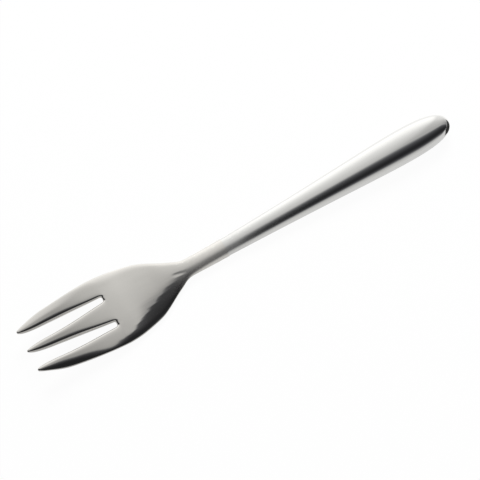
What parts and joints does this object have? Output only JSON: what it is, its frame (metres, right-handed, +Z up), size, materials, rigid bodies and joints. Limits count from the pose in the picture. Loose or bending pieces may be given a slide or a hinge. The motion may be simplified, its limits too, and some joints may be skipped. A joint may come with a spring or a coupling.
{
  "type": "appetizer fork",
  "caption": "Small polished steel fork with slim tapered tines, a shallow dished palm, a narrow neck and a round hollow handle that swells towards its end.",
  "frame": {"origin": "on the table under the middle of the fork's length and width, as it lies face up", "axes": "+X from the tine tips to the handle end, +Y across the fork, +Z up from the table"},
  "size_m": [0.15, 0.023, 0.0084],
  "materials": {
    "head_steel": "polished, with a fine satin sheen on the palm and tines",
    "handle_steel": "mirror polished",
    "brazing_alloy": "dull, as set",
    "cast_cement": "rough, as cast"
  },
  "bodies": {
    "root": {"fork_head": "head_steel", "handle_upper_shell": "handle_steel", "handle_lower_shell": "handle_steel", "mouth_braze_ring": "brazing_alloy", "handle_filling": "cast_cement"}
  },
  "joints": []
}
